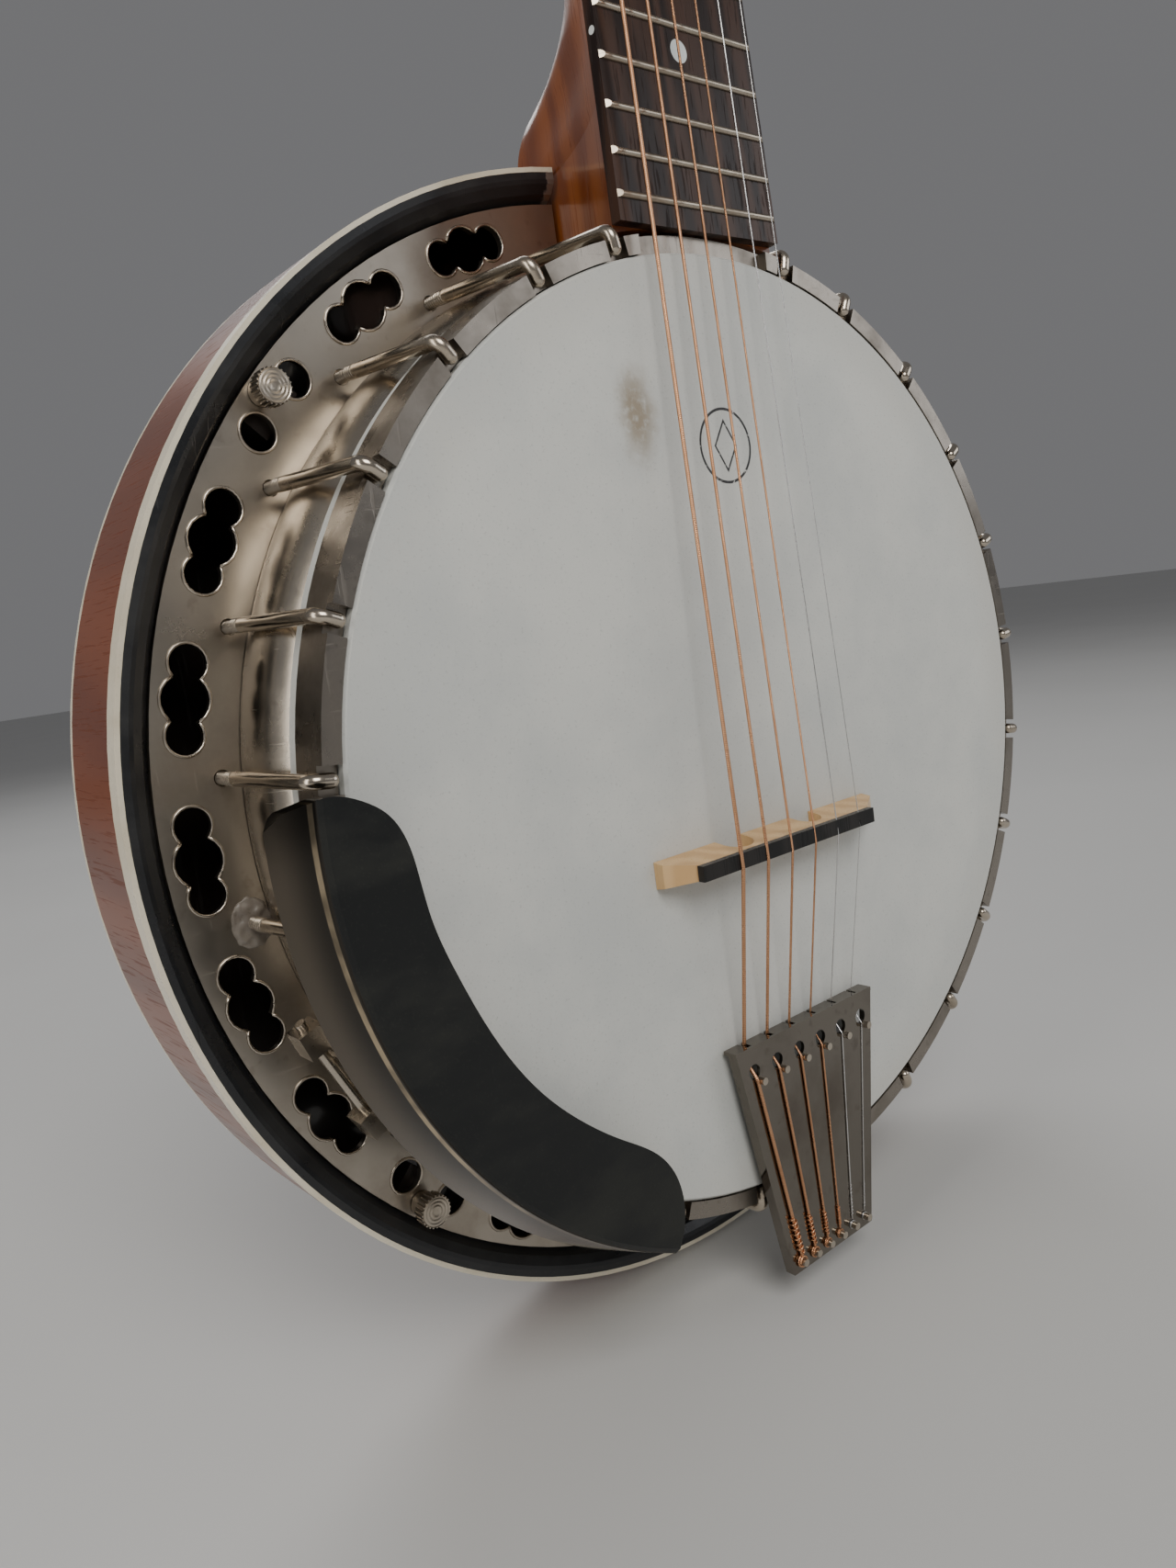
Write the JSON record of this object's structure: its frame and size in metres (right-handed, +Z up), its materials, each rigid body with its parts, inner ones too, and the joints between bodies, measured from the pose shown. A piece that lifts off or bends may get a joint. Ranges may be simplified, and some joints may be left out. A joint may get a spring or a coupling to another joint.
{
  "type": "banjo",
  "caption": "Resonator banjo with a frosted head, notched hoop, hooks, pierced flange, slotted armrest, fretted neck and geared tuners.",
  "frame": {"origin": "centre of the resonator's flat back face, on the pot's axis", "axes": "+Z up along the neck, +X right seen from the front, +Y to the back"},
  "size_m": [0.3552, 0.097, 0.9753],
  "materials": {
    "nickel": "aged polished nickel plate",
    "black_metal": "smooth black enamel",
    "cream": "cream plastic binding",
    "maple": "pale maple, open grain",
    "ebony": "polished ebony",
    "rosewood": "dark oiled rosewood",
    "cast_metal": "machined cast metal",
    "fret": "nickel silver",
    "black_edge": "black lacquered edge",
    "head": "frosted, lightly coated polyester film",
    "black_plastic": "black plastic",
    "pearl": "pearl inlay",
    "mahogany": "red-brown stained mahogany, gloss",
    "bone": "polished bone",
    "wood_rim": "laminated maple, satin",
    "bronze": "wound bronze string",
    "steel": "plain steel string",
    "dark_chrome": "mirror plate, darkened"
  },
  "bodies": {
    "body": {"armrest_brackets": "nickel", "armrest_plate": "black_metal", "back_binding": "cream", "bracket_hooks": "nickel", "bracket_nuts": "nickel", "bridge_body": "maple", "bridge_cap": "ebony", "coordinator_rods": "nickel", "cover_screws": "nickel", "fingerboard": "rosewood", "flange": "nickel", "flesh_ring": "cast_metal", "frets": "fret", "front_binding": "cream", "front_trim": "black_edge", "head": "head", "head_collar": "head", "heel_cap": "black_plastic", "inlay_dots": "pearl", "neck": "mahogany", "nut": "bone", "peghead_veneer": "ebony", "resonator_back": "mahogany", "resonator_lugs": "mahogany", "resonator_side": "mahogany", "rim_shell": "wood_rim", "rim_tube": "nickel", "rod_cover": "black_plastic", "rod_nuts": "nickel", "side_dots": "pearl", "string_1": "bronze", "string_2": "bronze", "string_3": "bronze", "string_4": "bronze", "string_5": "steel", "string_6": "steel", "tail_bracket": "dark_chrome", "tailpiece_pins": "nickel", "tailpiece_plate": "dark_chrome", "tension_hoop": "nickel", "tone_ring": "cast_metal", "tuner_bushings": "nickel", "tuner_housings": "nickel", "tuner_screws": "nickel"},
    "button_1": {"tuner_button_1": "nickel"},
    "post_1": {"tuner_post_1": "nickel"},
    "button_2": {"tuner_button_2": "nickel"},
    "post_2": {"tuner_post_2": "nickel"},
    "button_3": {"tuner_button_3": "nickel"},
    "post_3": {"tuner_post_3": "nickel"},
    "button_4": {"tuner_button_4": "nickel"},
    "post_4": {"tuner_post_4": "nickel"},
    "button_5": {"tuner_button_5": "nickel"},
    "post_5": {"tuner_post_5": "nickel"},
    "button_6": {"tuner_button_6": "nickel"},
    "post_6": {"tuner_post_6": "nickel"},
    "thumbscrew_1": {"thumbscrew_1": "nickel"},
    "thumbscrew_2": {"thumbscrew_2": "nickel"},
    "thumbscrew_3": {"thumbscrew_3": "nickel"},
    "thumbscrew_4": {"thumbscrew_4": "nickel"}
  },
  "joints": [
    {"name": "button_1_turn", "type": "hinge", "parent": "body", "child": "button_1", "pos_m": [-0.025, -0.027, 0.67051], "axis": [-1, 0, 0], "continuous": true},
    {"name": "post_1_turn", "type": "hinge", "parent": "body", "child": "post_1", "pos_m": [-0.025, -0.04829, 0.66846], "axis": [0, -0.9646, 0.2639], "continuous": true},
    {"name": "button_2_turn", "type": "hinge", "parent": "body", "child": "button_2", "pos_m": [-0.025, -0.01591, 0.71102], "axis": [-1, 0, 0], "continuous": true},
    {"name": "post_2_turn", "type": "hinge", "parent": "body", "child": "post_2", "pos_m": [-0.025, -0.03721, 0.70897], "axis": [0, -0.9646, 0.2639], "continuous": true},
    {"name": "button_3_turn", "type": "hinge", "parent": "body", "child": "button_3", "pos_m": [-0.025, -0.00483, 0.75153], "axis": [-1, 0, 0], "continuous": true},
    {"name": "post_3_turn", "type": "hinge", "parent": "body", "child": "post_3", "pos_m": [-0.025, -0.02613, 0.74948], "axis": [0, -0.9646, 0.2639], "continuous": true},
    {"name": "button_4_turn", "type": "hinge", "parent": "body", "child": "button_4", "pos_m": [0.025, -0.00483, 0.75153], "axis": [1, 0, 0], "continuous": true},
    {"name": "post_4_turn", "type": "hinge", "parent": "body", "child": "post_4", "pos_m": [0.025, -0.02613, 0.74948], "axis": [0, -0.9646, 0.2639], "continuous": true},
    {"name": "button_5_turn", "type": "hinge", "parent": "body", "child": "button_5", "pos_m": [0.025, -0.01591, 0.71102], "axis": [1, 0, 0], "continuous": true},
    {"name": "post_5_turn", "type": "hinge", "parent": "body", "child": "post_5", "pos_m": [0.025, -0.03721, 0.70897], "axis": [0, -0.9646, 0.2639], "continuous": true},
    {"name": "button_6_turn", "type": "hinge", "parent": "body", "child": "button_6", "pos_m": [0.025, -0.027, 0.67051], "axis": [1, 0, 0], "continuous": true},
    {"name": "post_6_turn", "type": "hinge", "parent": "body", "child": "post_6", "pos_m": [0.025, -0.04829, 0.66846], "axis": [0, -0.9646, 0.2639], "continuous": true},
    {"name": "thumbscrew_1_turn", "type": "hinge", "parent": "body", "child": "thumbscrew_1", "pos_m": [-0.12168, -0.041, 0.10995], "axis": [0, -1, 0], "continuous": true},
    {"name": "thumbscrew_2_turn", "type": "hinge", "parent": "body", "child": "thumbscrew_2", "pos_m": [0.12168, -0.041, 0.10995], "axis": [0, -1, 0], "continuous": true},
    {"name": "thumbscrew_3_turn", "type": "hinge", "parent": "body", "child": "thumbscrew_3", "pos_m": [0.11495, -0.041, -0.11697], "axis": [0, -1, 0], "continuous": true},
    {"name": "thumbscrew_4_turn", "type": "hinge", "parent": "body", "child": "thumbscrew_4", "pos_m": [-0.11495, -0.041, -0.11697], "axis": [0, -1, 0], "continuous": true}
  ],
  "couplings": [
    {"joint": "post_1_turn", "follows": "button_1_turn", "ratio": 0.071429},
    {"joint": "post_2_turn", "follows": "button_2_turn", "ratio": 0.071429},
    {"joint": "post_3_turn", "follows": "button_3_turn", "ratio": 0.071429},
    {"joint": "post_4_turn", "follows": "button_4_turn", "ratio": -0.071429},
    {"joint": "post_5_turn", "follows": "button_5_turn", "ratio": -0.071429},
    {"joint": "post_6_turn", "follows": "button_6_turn", "ratio": -0.071429}
  ]
}
